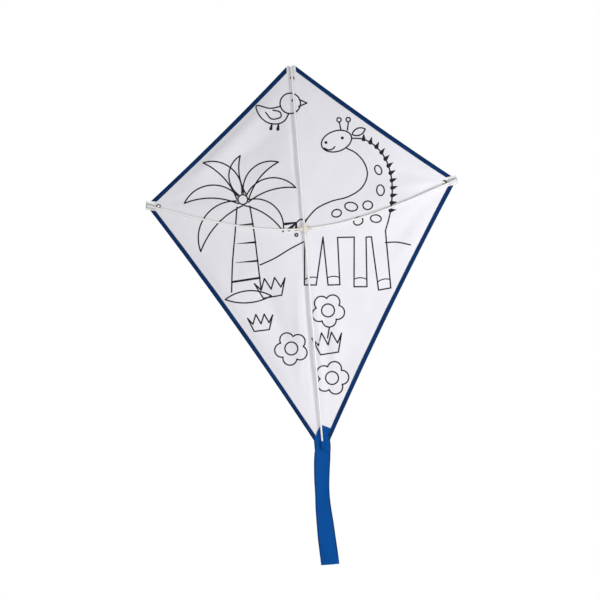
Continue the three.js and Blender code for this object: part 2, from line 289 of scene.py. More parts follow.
def tube(name, line, radii, sides=28, bore=0.0, sharp=40):
    """A round bar along a line of points in x, y, z with a radius at each point, and a bore if asked."""
    line = np.asarray(line, float)
    radii = np.broadcast_to(np.asarray(radii, float), (len(line),))
    along = unit(np.gradient(line, axis=0))
    depth = np.array([0.0, 1.0, 0.0])
    across = unit(np.cross(depth, along))
    other = np.cross(along, across)
    angles = np.linspace(0, 2 * math.pi, sides, endpoint=False)

    def ring(p, u, v, r):
        return p + r * (np.cos(angles)[:, None] * u + np.sin(angles)[:, None] * v)

    vertices = [ring(p, u, v, r) for p, u, v, r in zip(line, across, other, radii)]
    rows = len(line)
    if bore:
        vertices += [ring(p, u, v, bore) for p, u, v in zip(line[::-1], across[::-1], other[::-1])]
        faces = grid_faces(2 * rows, sides, wrap_rows=True, wrap_columns=True)
    else:
        faces = bar_faces(rows, sides)
    piece = new_piece(name, np.vstack(vertices), faces)
    face_outward(piece, sharp)
    return piece


def grid_normals(points):
    return unit(np.cross(np.gradient(points, axis=0), np.gradient(points, axis=1)))


def laid_out(x, y, z):
    """A grid of points from x, y and z that broadcast together, and each point's place on the cloth."""
    points = np.stack(np.broadcast_arrays(x, y, z), axis=2)
    return points, points[..., [0, 2]]


def thicken(name, points, thickness, uv, sharp=50):
    """A closed sheet from a grid of surface points, rows by columns by xyz, half its thickness each way."""
    rows, columns = points.shape[:2]
    normal = grid_normals(points)
    front = (points + normal * thickness / 2).reshape(-1, 3)
    back = (points - normal * thickness / 2).reshape(-1, 3)
    count = rows * columns
    faces = grid_faces(rows, columns)
    faces += [tuple(k + count for k in reversed(f)) for f in grid_faces(rows, columns)]
    rim = [r * columns for r in range(rows)]
    rim += [(rows - 1) * columns + c for c in range(1, columns)]
    rim += [r * columns + columns - 1 for r in range(rows - 2, -1, -1)]
    rim += [c for c in range(columns - 2, 0, -1)]
    for a, b in zip(rim, rim[1:] + rim[:1]):
        faces.append((a, b, b + count, a + count))
    piece = new_piece(name, np.vstack([front, back]), faces, uv=np.vstack([uv.reshape(-1, 2)] * 2))
    face_outward(piece, sharp)
    return piece


def slice_off(piece, point, normal):
    """Removes what lies beyond a plane and closes the cut. Point and normal are in millimetres."""
    work = bmesh.new()
    work.from_mesh(piece.data)
    everything = work.verts[:] + work.edges[:] + work.faces[:]
    bmesh.ops.bisect_plane(work, geom=everything, dist=1e-7, plane_co=Vector(point) * MM,
                           plane_no=Vector(normal), clear_outer=True)
    open_edges = [e for e in work.edges if e.is_boundary]
    if open_edges:
        bmesh.ops.holes_fill(work, edges=open_edges, sides=0)
    work.to_mesh(piece.data)
    work.free()


def duplicate(piece, name):
    return link(piece.data.copy(), name)


def join(pieces, name):
    """Makes one mesh of several, each already in place."""
    work = bmesh.new()
    for piece in pieces:
        work.from_mesh(piece.data)
        bpy.data.objects.remove(piece)
    mesh = bpy.data.meshes.new(name)
    work.to_mesh(mesh)
    work.free()
    return link(mesh, name)


# ---------------------------------------------------------------- materials

class Look:
    """A procedural material around one Principled shader, with short helpers for its nodes."""

    def __init__(self, name, **constants):
        self.material = bpy.data.materials.new(name)
        self.material.use_nodes = True
        self.nodes = self.material.node_tree.nodes
        self.shader = self.nodes["Principled BSDF"]
        for socket, value in constants.items():
            self.shader.inputs[socket.replace("_", " ")].default_value = value

    def add(self, kind, inputs=None, **settings):
        node = self.nodes.new(kind)
        for key, value in settings.items():
            setattr(node, key, value)
        for key, value in (inputs or {}).items():
            if isinstance(value, bpy.types.NodeSocket):
                self.material.node_tree.links.new(value, node.inputs[key])
            else:
                node.inputs[key].default_value = value
        return node

    def place(self, cloth):
        """Where a point is: on the cloth, by its uv, or in the object's own space."""
        if cloth:
            return self.add("ShaderNodeUVMap", uv_map="cloth").outputs[0]
        return self.add("ShaderNodeTexCoord").outputs["Object"]

    def stretched(self, place, scale):
        return self.add("ShaderNodeMapping", {"Vector": place, "Scale": scale}).outputs[0]

    def noise(self, place, scale, detail=3.0, roughness=0.55):
        node = self.add("ShaderNodeTexNoise", {
            "Vector": place, "Scale": scale, "Detail": detail, "Roughness": roughness})
        return node.outputs["Fac"]

    def bands(self, place, per_metre, direction):
        """Threads across one direction, as a sine between 0 and 1."""
        node = self.add("ShaderNodeTexWave", {"Vector": place, "Scale": per_metre * math.pi / 10},
                        bands_direction=direction)
        return node.outputs["Fac"]

    def maths(self, operation, a, b):
        return self.add("ShaderNodeMath", {0: a, 1: b}, operation=operation).outputs[0]

    def between(self, factor, low, high):
        """Turns a factor into a number from low to high."""
        node = self.add("ShaderNodeMapRange", {"Value": factor, "To Min": low, "To Max": high})
        return node.outputs[0]

    def colours(self, factor, *stops):
        """A ramp of colours, each stop a place and an RGB."""
        node = self.add("ShaderNodeValToRGB", {"Fac": factor})
        ramp = node.color_ramp
        while len(ramp.elements) < len(stops):
            ramp.elements.new(0.5)
        for element, (place, colour) in zip(ramp.elements, stops):
            element.position = place
            element.color = opaque(colour)
        return node.outputs[0]

    def mix(self, factor, a, b, blend="MIX"):
        node = self.add("ShaderNodeMixRGB", {"Fac": factor, "Color1": a, "Color2": b}, blend_type=blend)
        return node.outputs[0]

    def give(self, socket, value):
        self.material.node_tree.links.new(value, self.shader.inputs[socket])

    def bump(self, *layers):
        """Stacks bumps, each a height, a strength and a depth in millimetres."""
        normal = None
        for height, strength, depth in layers:
            inputs = {"Height": height, "Strength": strength, "Distance": depth * MM}
            if normal is not None:
                inputs["Normal"] = normal
            normal = self.add("ShaderNodeBump", inputs).outputs[0]
        self.give("Normal", normal)


def shade(colour, share):
    return tuple(min(1.0, c * share) for c in colour)


def opaque(colour):
    return (*colour, 1.0)


def tint(colour):
    """The same hue at full brightness."""
    return tuple(c / max(colour) for c in colour)


def woven(name, colour, threads, depth, roughness, sheen, patch=6.0, **constants):
    """Plain-woven cloth: threads per metre each way, with slubs, soft patches and a dull sheen."""
    look = Look(name, Sheen_Weight=sheen, Sheen_Roughness=0.45, Specular_IOR_Level=0.06, **constants)
    look.shader.inputs["Sheen Tint"].default_value = opaque(tint(colour))
    place = look.place(cloth=True)
    warp = look.bands(place, threads, "X")
    weft = look.bands(place, threads, "Y")
    weave = look.maths("MULTIPLY", warp, weft)
    slub = look.noise(look.stretched(place, (1.0, 0.08, 1.0)), threads * 0.4)
    patches = look.noise(place, patch, detail=2.0)
    base = look.colours(patches, (0.3, shade(colour, 0.93)), (0.7, colour))
    base = look.mix(look.between(slub, 0.0, 0.22), base, opaque(shade(colour, 0.8)))
    base = look.mix(look.between(weave, 0.12, 0.0), base, opaque(shade(colour, 0.7)))
    look.give("Base Color", base)
    look.give("Roughness", look.between(patches, roughness - 0.06, roughness + 0.06))
    look.bump((weave, 0.5, depth), (slub, 0.25, depth), (patches, 0.2, 0.4))
    return look.material


def ribbed(name, colour, ribs, depth, roughness, sheen):
    """Grosgrain tape: ribs across its width, their tops painted paler as a highlight."""
    look = Look(name, Sheen_Weight=sheen, Sheen_Roughness=0.4, Specular_IOR_Level=0.06)
    look.shader.inputs["Sheen Tint"].default_value = opaque(tint(colour))
    place = look.place(cloth=True)
    rib = look.bands(place, ribs, "X")
    fine = look.noise(look.stretched(place, (1.0, 0.3, 1.0)), ribs * 1.3)
    patches = look.noise(place, 22.0, detail=2.0)
    base = look.colours(patches, (0.3, shade(colour, 0.75)), (0.72, shade(colour, 1.25)))
    # painted highlight: each rib's top is mixed towards a paler copy of the tape's colour
    base = look.mix(look.between(rib, 0.0, 0.25), base, opaque(shade(colour, 1.7)))
    look.give("Base Color", base)
    look.give("Roughness", look.between(fine, roughness - 0.08, roughness + 0.08))
    look.bump((rib, 0.6, depth), (fine, 0.3, depth))
    return look.material


def moulded(name, colour, roughness, grain=900.0, **constants):
    """Soft plastic or vinyl with a fine grain and faint handling marks."""
    look = Look(name, **constants)
    place = look.place(cloth=False)
    grains = look.noise(place, grain, detail=2.0)
    marks = look.noise(place, 60.0, detail=4.0, roughness=0.7)
    look.give("Base Color", look.colours(marks, (0.3, shade(colour, 0.93)), (0.65, colour)))
    look.give("Roughness", look.between(marks, roughness - 0.1, roughness + 0.1))
    look.bump((grains, 0.25, 0.06), (marks, 0.15, 0.15))
    return look.material


def drawn_metal(name, colour):
    """Plated steel: fine scratches and a little clouding."""
    look = Look(name, Metallic=1.0)
    place = look.place(cloth=False)
    scratches = look.noise(look.stretched(place, (1.0, 1.0, 0.1)), 2600.0, detail=3.0)
    clouds = look.noise(place, 300.0)
    look.give("Base Color", look.colours(clouds, (0.3, shade(colour, 0.86)), (0.7, colour)))
    look.give("Roughness", look.between(scratches, 0.14, 0.34))
    look.bump((scratches, 0.15, 0.02))
    return look.material


def rod_look(name, colour):
    """Pultruded fibreglass: glass fibres that run along the stick under clear resin."""
    look = Look(name, Coat_Weight=0.35, Coat_Roughness=0.18)
    place = look.place(cloth=False)
    fibres = look.noise(look.stretched(place, (1.0, 1.0, 0.03)), 2200.0, detail=2.0)
    mottle = look.noise(place, 35.0)
    base = look.colours(mottle, (0.3, shade(colour, 0.95)), (0.7, colour))
    look.give("Base Color", look.mix(look.between(fibres, 0.0, 0.25), base, opaque(shade(colour, 0.82))))
    look.give("Roughness", look.between(fibres, 0.28, 0.48))
    look.bump((fibres, 0.2, 0.03))
    return look.material


def ink_look(name, colour, roughness):
    """Screen-print ink that has sunk a little into the weave."""
    look = Look(name, Specular_IOR_Level=0.15)
    place = look.place(cloth=False)
    speckle = look.noise(place, 1500.0, detail=2.0)
    wear = look.noise(place, 45.0, detail=3.0)
    base = look.colours(speckle, (0.35, colour), (0.75, tuple(c + 0.015 for c in colour)))
    look.give("Base Color", look.mix(look.between(wear, 0.0, 0.3), base, opaque(c + 0.03 for c in colour)))
    look.give("Roughness", look.between(speckle, roughness - 0.1, roughness + 0.1))
    look.bump((speckle, 0.3, 0.05))
    return look.material


SAIL_CLOTH = woven("sail_cloth", (0.90, 0.893, 0.94), 2300.0, 0.05, 0.7, 0.05)
NAVY_TAPE = ribbed("navy_tape", (0.0025, 0.027, 0.112), 1100.0, 0.12, 0.7, 0.03)
BLUE_RIBBON = woven("blue_ribbon", (0.0010, 0.078, 0.330), 1800.0, 0.06, 0.62, 0.04, patch=14.0)
# painted shade: a darker copy of the ribbon's blue for its rolled edges, standing for their doubled cloth and
# for the shade along the ribbon's edges
BLUE_SELVEDGE_SHADED = woven("blue_selvedge", (0.0010, 0.046, 0.185), 1500.0, 0.1, 0.7, 0.04, patch=18.0)
NAVY_THREAD = moulded("navy_thread", (0.02, 0.06, 0.18), 0.6, grain=5000.0)
BLUE_THREAD = moulded("blue_thread", (0.006, 0.075, 0.27), 0.6, grain=5000.0)
FIBREGLASS = rod_look("fibreglass", (0.95, 0.95, 0.935))
CLEAR_VINYL = moulded("clear_vinyl", (0.78, 0.80, 0.80), 0.3)
CAP_VINYL = moulded("cap_vinyl", (0.84, 0.84, 0.81), 0.42)
CREAM_VINYL = moulded("cream_vinyl", (0.80, 0.755, 0.66), 0.48)
NICKEL = drawn_metal("nickel", (0.40, 0.38, 0.33))
BLACK_PLASTIC = moulded("black_plastic", (0.012, 0.012, 0.013), 0.32)
INK = ink_look("ink", (0.008, 0.008, 0.010), 0.75)
INK_SHOWING_THROUGH = ink_look("ink_showing_through", (0.50, 0.50, 0.53), 0.75)


def dress(piece, material):
    piece.data.materials.clear()
    piece.data.materials.append(material)
    return piece


# ---------------------------------------------------------------- riding and dressing

def wing(side):
    return "left_wing" if side < 0 else "right_wing"


def bend(piece):
    """Bakes the piece's transform into its mesh."""
    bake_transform(piece)


def fit(piece, material, body, node):
    """Dresses a rigid piece, gives it its body and hides the CAD node that it replaces."""
    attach(dress(piece, material), body)
    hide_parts(node)


def lay(piece, material, threads, thread):
    """Dresses a sewn cloth and its stitches and bakes both in place."""
    for part, look in ((piece, material), (threads, thread)):
        dress(part, look)
        bend(part)


def bend_in_zones(whole, material):
    """Cuts a piece that lies on the sail at the spine and at two heights, and bakes and dresses each part."""
    for side, word in SIDES:
        for zone, low, high, height, slant in ZONES:
            part = duplicate(whole, f"{whole.name}_{word}_{zone}")
            slice_off(part, (0, 0, 0), (-side, 0, 0))
            if math.isfinite(low):
                slice_off(part, (0, 0, low), (0, 0, -1))
            if math.isfinite(high):
                slice_off(part, (0, 0, high), (0, 0, 1))
            if not part.data.polygons:
                bpy.data.objects.remove(part)
                continue
            bend(part)
            dress(part, material)
    bpy.data.objects.remove(whole)


# ---------------------------------------------------------------- sail

def half_widths():
    """The sail's half width as tables of z and x, from the foot up."""
    lower, _, _ = lower_edge(1, 1.0).at(np.linspace(1, 0, 300))
    upper, _, _ = upper_edge(1, 1.0).at(np.linspace(1, 0, 300))
    line = np.vstack([lower, upper[1:]])
    return line[:, 1], line[:, 0]


WIDTH_Z, WIDTH_X = half_widths()


def edge_distance(x, z):
    """Distance in from the nearer edge."""
    x = np.abs(x)
    distances = []
    for a, b, hollow in ((TOP, TIP, UPPER_HOLLOW), (TIP, FOOT, LOWER_HOLLOW)):
        a, b = np.array(a), np.array(b)
        along = unit(b - a)
        t = np.clip(((x - a[0]) * along[0] + (z - a[1]) * along[1]) / np.linalg.norm(b - a), 0, 1)
        out = (x - a[0]) * -along[1] + (z - a[1]) * along[0]
        distances.append(-out - hollow * 4 * t * (1 - t))
    return np.minimum(*distances)


# Soft folds in the cloth: both ends as x and z, half width, and height towards the back
FOLDS = (
    ((-8, -30), (-10, -375), 4.5, 1.9),
    ((-22, -80), (-34, -345), 7.0, -1.7),
    ((-95, -50), (-36, -265), 10.0, 1.6),
    ((-132, -50), (-64, -235), 12.0, -1.9),
    ((11, -50), (9, -375), 4.5, -1.7),
    ((27, -100), (20, -350), 7.0, 1.8),
    ((62, -110), (26, -300), 10.0, -1.5),
    ((225, 30), (118, -105), 14.0, 1.4),
    ((-8, 262), (-9, 55), 4.0, 1.4),
    ((8, 262), (58, 140), 9.0, -1.3),
    ((-152, 118), (-22, 196), 9.0, 1.5),
    ((-125, 66), (-14, 150), 12.0, -1.4),
)


def relief(x, z):
    """How far the cloth stands back from its plane: billow, folds, pull lines, rolled rims and crumple."""
    x, z = np.asarray(x, float), np.asarray(z, float)
    inside = edge_distance(x, z)
    held = smooth(7, 45, inside)
    from_spar = np.abs(z - spar_height(x))
    billow = 4.5 * smooth(0, 95, np.abs(x)) * smooth(0, 75, from_spar) * smooth(6, 90, inside)
    folds = np.zeros_like(x)
    for start, end, width, height in FOLDS:
        length = math.dist(start, end)
        ax, az = (end[0] - start[0]) / length, (end[1] - start[1]) / length
        run = (x - start[0]) * ax + (z - start[1]) * az
        off = ((z - start[1]) * ax - (x - start[0]) * az) / width
        folds += height * np.exp(-off ** 2) * smooth(0, 0.4, run / length) * smooth(1, 0.6, run / length)
    pull = np.zeros_like(x)
    for cx, cz, turn, count, reach in (
        (-TIP[0], TIP[1], 0.3, 17, 130), (TIP[0], TIP[1], 1.4, 15, 130), (0, TOP[1], 0.9, 13, 90)):
        radius = np.hypot(x - cx, z - cz)
        angle = np.arctan2(z - cz, x - cx)
        pull += 1.1 * np.sin(count * angle + turn) * smooth(18, 60, radius) * np.exp(-(radius / reach) ** 2)
    rolled = np.exp(-((inside - 29) / 16) ** 2) * smooth(7, 20, inside) * smooth(20, 90, np.abs(x))
    rolled *= np.where(z > TIP[1], smooth(85, 135, z), smooth(-20, -75, z) * smooth(-350, -270, z))
    rolled *= np.where(x < 0, np.where(z > TIP[1], -4.0, -2.8), 1.5)
    crumple = 0.60 * np.sin(x / 19 + 1.3 * np.sin(z / 33)) * np.sin(z / 26 + 1.1 * np.sin(x / 29 + 2))
    crumple += 0.16 * np.sin(x / 7.3 + 2 * np.sin(z / 13)) * np.sin(z / 9.1 + 1.7 * np.sin(x / 15))
    return held * (billow + folds + pull + crumple) + rolled


def sail_layout():
    """Flat points and triangles of the sail, finer beside the spine where the cloth folds."""
    fine, coarse, row_step = 2.0, 4.6, 4.25
    fine_width, rim_gap = 26.0, 2.4
    sides = []
    for side in (1, -1):
        upper, _, _ = upper_edge(side, 1.0).at(np.linspace(0, 1, 86))
        lower, _, _ = lower_edge(side, 1.0).at(np.linspace(0, 1, 126))
        sides.append(np.vstack([upper, lower[1:]]))
    outline = np.vstack([sides[0], sides[1][::-1]])
    points = [tuple(p) for p in outline]
    chain = [(k, (k + 1) % len(outline)) for k in range(len(outline))]
    rows = [HEAD_Z + row_step * k for k in range(-147, 18)]
    for z in rows:
        half = float(np.interp(z, WIDTH_Z, WIDTH_X)) - rim_gap
        cut = z in (HEAD_Z, HEEL_Z)
        near = np.arange(0, min(fine_width, half) + 0.01, fine)
        shift = 0.0 if cut or round((z - HEAD_Z) / row_step) % 2 == 0 else coarse / 2
        far = np.arange(fine_width + coarse + shift, half, coarse)
        xs = np.concatenate([near, far])
        xs = np.concatenate([-xs[:0:-1], xs])
        first = len(points)
        points += [(x, z) for x in xs]
        if cut:
            chain += [(k, k + 1) for k in range(first, len(points) - 1)]
    middle = [k for k, p in enumerate(points) if k >= len(outline) and p[0] == 0]
    chain += list(zip(middle, middle[1:]))
    first, sides = len(points), 16
    points += [(EYELET[0] + EYELET_BORE * math.cos(2 * math.pi * k / sides),
                EYELET[1] + EYELET_BORE * math.sin(2 * math.pi * k / sides)) for k in range(sides)]
    chain += [(first + k, first + (k + 1) % sides) for k in range(sides)]
    flat, _, triangles, *_ = delaunay_2d_cdt([Vector(p) for p in points], chain, [], 1, 1e-5)
    flat = np.array([tuple(p) for p in flat])
    triangles = np.array([tuple(t) for t in triangles])
    from_eyelet = np.linalg.norm(flat[triangles].mean(1) - np.array(EYELET), axis=1)
    return flat, triangles[from_eyelet > EYELET_BORE]


def make_sail():
    """The whole sheet's flat layout, triangles, surface and normals, for other pieces to lie on."""
    flat, triangles = sail_layout()
    y = SAIL_Y + relief(flat[:, 0], flat[:, 1])
    surface = np.column_stack([flat[:, 0], y, flat[:, 1]])
    a, b, c = (surface[triangles[:, k]] for k in range(3))
    facing = np.cross(b - a, c - a)
    turned_away = facing[:, 1] > 0
    triangles[turned_away] = triangles[turned_away][:, ::-1]
    facing[turned_away] *= -1
    normal = np.zeros_like(surface)
    for k in range(3):
        np.add.at(normal, triangles[:, k], facing)
    normal = unit(normal)
    return flat, triangles, surface, normal


class Cloth:
    """The sail's surface: asks where its front or back face is at a place in x and z."""

    def __init__(self):
        self.flat, self.triangles, self.surface, self.normal = make_sail()
        self.tree = BVHTree.FromPolygons(self.surface.tolist(), self.triangles.tolist())

    def y(self, x, z):
        hit, _, _, _ = self.tree.ray_cast(Vector((x, -100, z)), Vector((0, 1, 0)))
        return hit.y if hit else SAIL_Y

    def zone(self, name, side, low, high):
        """One closed part of the sheet, with the whole sheet's normals, so that no seam shows."""
        centre = self.flat[self.triangles].mean(1)
        keep = (centre[:, 0] * side > 0) & (centre[:, 1] > low) & (centre[:, 1] < high)
        used, faces = np.unique(self.triangles[keep], return_inverse=True)
        faces = faces.reshape(-1, 3)
        count = len(used)
        normal = self.normal[used]
        front = self.surface[used] + normal * SAIL_THICKNESS / 2
        back = self.surface[used] - normal * SAIL_THICKNESS / 2
        sides = {}
        for a, b, c in faces:
            for edge in ((a, b), (b, c), (c, a)):
                if edge[::-1] in sides:
                    del sides[edge[::-1]]
                else:
                    sides[edge] = True
        rim = [(b, a, a + count, b + count) for a, b in sides]
        polygons = [tuple(f) for f in faces] + [tuple(f[::-1] + count) for f in faces] + rim
        piece = new_piece(name, np.vstack([front, back]), polygons, uv=np.vstack([self.flat[used]] * 2))
        split = np.vstack([normal[faces].reshape(-1, 3), -normal[faces[:, ::-1]].reshape(-1, 3),
                           np.zeros((4 * len(rim), 3))])
        piece.data.normals_split_custom_set(split.tolist())
        a, b, c = (self.flat[self.triangles[keep][:, k]] for k in range(3))
        ab, ac = b - a, c - a
        return piece, np.abs(ab[:, 0] * ac[:, 1] - ab[:, 1] * ac[:, 0]).sum() / 2


cloth = Cloth()


def sail():
    replaced = {-1: ["sail_left", "sail_centre"], 1: ["sail_right"]}
    for side, word in SIDES:
        for zone, low, high, height, slant in ZONES:
            piece, area = cloth.zone(f"sail_{word}_{zone}", side, low, high)
            dress(piece, SAIL_CLOTH)
            bend(piece)
            if zone == "middle":
                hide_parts(*replaced[side])


# ---------------------------------------------------------------- print

LINE = 1.3  # half the width of a printed line


def arc(start, end, rise):
    """An arc from start to end that stands rise times their distance to the left of the straight line."""
    start, end = np.array(start, float), np.array(end, float)
    chord = end - start
    length = np.linalg.norm(chord)
    left = np.array([-chord[1], chord[0]]) / length
    height = rise * length
    radius = (length ** 2 / 4 + height ** 2) / (2 * abs(height))
    centre = (start + end) / 2 + left * (height - math.copysign(radius, height))
    a = math.atan2(*(start - centre)[::-1])
    b = math.atan2(*(end - centre)[::-1])
    sweep = (b - a) % (2 * math.pi)
    if height > 0:
        sweep -= 2 * math.pi
    angles = a + np.linspace(0, 1, 24) * sweep
    return centre + radius * np.column_stack([np.cos(angles), np.sin(angles)])


def placed(centre, x, z, tilt):
    """Points given about a centre, turned by tilt degrees."""
    turn = math.radians(tilt)
    return np.column_stack([centre[0] + x * math.cos(turn) - z * math.sin(turn),
                            centre[1] + x * math.sin(turn) + z * math.cos(turn)])


def oval(centre, wide, tall, tilt=0.0):
    angles = np.linspace(0, 2 * math.pi, 49)
    return placed(centre, wide * np.cos(angles), tall * np.sin(angles), tilt), LINE


def stroke(start, end, half=LINE):
    """A straight line, with its half width, or that at each end."""
    return np.array([start, end], float), np.array(half)


def strokes(corners):
    return [stroke(a, b) for a, b in zip(corners, corners[1:])]


def curve(*points):
    return spline(points), LINE


CROWN = (-110, 64)


def frond(tip):
    """One drooping leaf: two arcs from the crown to its tip, both curved upward."""
    tip = np.array(tip, float)
    out = unit(tip - CROWN)
    up = 1 if out[0] > 0 else -1
    root = np.array(CROWN) + out * 9
    aside = np.array([-out[1], out[0]]) * 7 * up
    return [(arc(root + aside, tip, 0.27 * up), LINE), (arc(root - aside, tip, 0.10 * up), LINE)]


def palm():
    """A palm tree on a small mound."""
    lines = [oval(CROWN, 9, 9)]
    for tip in ((-219, 66), (-178, 138), (-108, 146), (-38, 128), (-10, 78), (-40, -2), (-196, -26)):
        lines += frond(tip)
    left = curve((-122, 51), (-130, 0), (-139, -52), (-145, -106))
    right = curve((-98, 51), (-94, 0), (-92, -52), (-90, -107))
    lines += [left, right]
    for share in (0.24, 0.46, 0.68, 0.87):
        at = int(share * (len(left[0]) - 1))
        start, end = right[0][at], left[0][at]
        if share < 0.8:
            lines.append(stroke(start, end + (start - end) * 0.12, (2.0, 0.4)))
        else:
            lines.append(stroke(start, end - (0, 4), 2.0))
    mound = (-158, -119), (-72, -119)
    return lines + [(arc(*mound, rise), LINE) for rise in (0.15, -0.11)]


def tuft(base, width, height, tilt):
    """A clump of grass: four blades that fan out from a narrow base."""
    u, v = np.array([(-0.30, 0), (0.30, 0), (0.5, 0.85), (0.32, 0.42), (0.17, 0.96), (0.0, 0.40),
                     (-0.16, 1.0), (-0.32, 0.44), (-0.5, 0.82), (-0.30, 0)]).T
    return strokes(placed(base, u * width, v * height, tilt))


def flower(centre, outer, inner, turn):
    """Five round petals about a ring."""
    waist = outer * 0.72
    angles = [math.radians(turn + 72 * k) for k in range(6)]
    stops = [(centre[0] + waist * math.cos(a), centre[1] + waist * math.sin(a)) for a in angles]
    return [(arc(a, b, -0.5), LINE) for a, b in zip(stops, stops[1:])] + [oval(centre, inner, inner)]


def leg(*corners):
    """A leg down one side, across the foot and up the other, with a hoof line."""
    corners = np.array(corners, float)
    left = corners[1] + (corners[0] - corners[1]) * 0.15
    right = corners[2] + (corners[3] - corners[2]) * 0.15
    return strokes(corners) + [(arc(left, right, 0.12), LINE * 0.8)]


def giraffe():
    """A plain giraffe with knobbed horns, round spots and a tufted mane."""
    lines = [oval((73, 158), 29, 19, 14)]
    for foot, knob in (((83, 178), (81, 193)), ((95, 177), (98, 192))):
        lines += [stroke(foot, knob), oval((knob[0], knob[1] + 4), 4, 4)]
    lines += [(arc((103, 168), (128, 176), rise), LINE) for rise in (0.25, -0.25)]
    lines += [stroke((x, z), (x + 0.4, z), 2.7) for x, z in ((53, 157), (84, 163))]
    lines.append((arc((50, 147), (69, 148), -0.25), LINE))
    lines.append(curve((91, 143), (107, 133), (121, 114), (125, 90), (112, 67), (86, 53), (54, 47), (26, 36),
                       (7, 19)))
    lines.append(curve((7, 19), (0, 7), (1, -8), (-3, -40)))
    back = curve((102, 161), (124, 157), (146, 141), (162, 115), (169, 84), (168, 50), (161, 15), (150, -16))
    lines.append(back)
    mane = resample(back[0], 1.0)
    for at in range(22, 190, 14):
        root, along = mane[at], unit(mane[at + 2] - mane[at - 2])
        outward = np.array([-along[1], along[0]])
        lines.append(stroke(root, root + outward * 10 - along * 3, (4.0, 0.4)))
    spots = ((62, 24, 9, 7, 10), (90, 34, 12, 8, -15), (121, 34, 9, 8, 0), (101, 6, 9, 7, 20),
             (134, 8, 10, 7, -10), (147, 60, 7, 10, 0), (146, 98, 6, 9, 20))
    lines += [oval((x, z), wide, tall, tilt) for x, z, wide, tall, tilt in spots]
    lines.append(curve((5, 16), (-6, 18), (-14, 13)))
    for tip, thick in (((-35, 12), 2.6), ((-29, 1), 3.4), ((-16, 0), 2.6)):
        lines.append(stroke((-14, 13), tip, (1.4, thick)))
    lines += leg((-3, -40), (-9, -104), (13, -106), (33, -18))
    lines += leg((33, -18), (35, -108), (57, -109), (60, -21))
    lines += leg((91, -23), (83, -115), (107, -117), (113, -25))
    lines += leg((123, -25), (128, -125), (151, -123), (150, -16))
    return lines + [stroke((60, -21), (91, -23)), stroke((113, -25), (123, -25))]


def bird():
    """A small bird at rest."""
    lines = [oval((-7, 235), 19, 19), stroke((-2, 240), (-1.6, 240), 2.6)]
    lines += strokes(((10, 241), (24, 233), (8, 228)))
    lines.append(curve((-25, 231), (-46, 229), (-70, 236), (-66, 217), (-52, 203), (-34, 199), (-20, 204),
                       (-11, 217)))
    lines.append(curve((-54, 222), (-44, 209), (-27, 211), (-28, 221), (-40, 225)))
    return lines + [stroke((-44, 200), (-47, 191), (LINE, 3.0)), stroke((-32, 198), (-34, 189), (LINE, 3.0))]


def ground():
    """Two ground lines, tufts of grass and flowers, one of them with a stem."""
    lines = [curve((-88, -60), (-60, -50), (-30, -35), (-4, -24)), curve((148, -38), (170, -39), (194, -46))]
    lines += tuft((-70, -121), 58, 36, 5) + tuft((-95, -182), 47, 31, 2) + tuft((27, -235), 56, 40, 4)
    for centre, turn in (((31, -155), 20), ((-43, -220), 5), ((28, -281), 35)):
        lines += flower(centre, 31, 12, turn)
    return lines + [curve((31, -186), (28, -198), (26, -206))]


def strip(line, half, offset, depth, vertices, faces):
    """Adds one printed line as a thin raised band that follows the cloth."""
    length = np.linalg.norm(np.diff(line, axis=0), axis=1).sum()
    stations = resample(line, min(2.0, length / 16))
    halves = np.interp(np.linspace(0, 1, len(stations)), np.linspace(0, 1, np.size(half)), np.ravel(half))
    along = unit(np.gradient(stations, axis=0))
    caps = ((0.95, 0.32), (0.7, 0.72), (0.35, 0.94))
    head = [(stations[0] - along[0] * halves[0] * out, halves[0] * width, along[0]) for out, width in caps]
    body = list(zip(stations, halves, along))
    tail = [(stations[-1] + along[-1] * halves[-1] * out, halves[-1] * width, along[-1])
            for out, width in reversed(caps)]
    rows = head + body + tail
    first = len(vertices)
    for (x, z), reach, (ax, az) in rows:
        for sign in (1, -1):
            px, pz = x - az * reach * sign, z + ax * reach * sign
            y = cloth.y(px, pz) + offset
            vertices += [(px, y, pz), (px, y + depth, pz)]
    for k in range(len(rows) - 1):
        a, b = first + 4 * k, first + 4 * k + 4
        for p, q in ((0, 2), (2, 3), (3, 1), (1, 0)):
            faces.append((a + p, a + q, b + q, b + p))
    faces.append((first, first + 1, first + 3, first + 2))
    last = first + 4 * (len(rows) - 1)
    faces.append((last, last + 2, last + 3, last + 1))


def printed(name, drawing, offset, depth, spread):
    vertices, faces = [], []
    for line, half in drawing:
        strip(line, np.asarray(half) * spread, offset, depth, vertices, faces)
    piece = new_piece(name, vertices, faces)
    face_outward(piece, 40)
    return piece


def artwork():
    drawing = palm() + giraffe() + bird() + ground()
    proud = 0.12
    front = printed("print", drawing, -SAIL_THICKNESS / 2 - proud, proud + 0.05, 1.0)
    bend_in_zones(front, INK)
    back = printed("print_back", drawing, SAIL_THICKNESS / 2 - 0.05, 0.13, 1.25)
    bend_in_zones(back, INK_SHOWING_THROUGH)


# ---------------------------------------------------------------- stitches

def stitch_shape(length, radius):
    """One stitch: a thread that dips into the cloth at both ends. Rings run along its length."""
    sides = 6
    vertices = []
    for share, size, lift in ((-0.5, 0.25, -0.6), (-0.36, 0.85, -0.05), (0, 1.0, 0.3), (0.36, 0.85, -0.05),
                              (0.5, 0.25, -0.6)):
        for k in range(sides):
            angle = 2 * math.pi * k / sides
            vertices.append((share * length, radius * (size * math.cos(angle) + lift),
                             radius * size * math.sin(angle)))
    return np.array(vertices), bar_faces(5, sides)


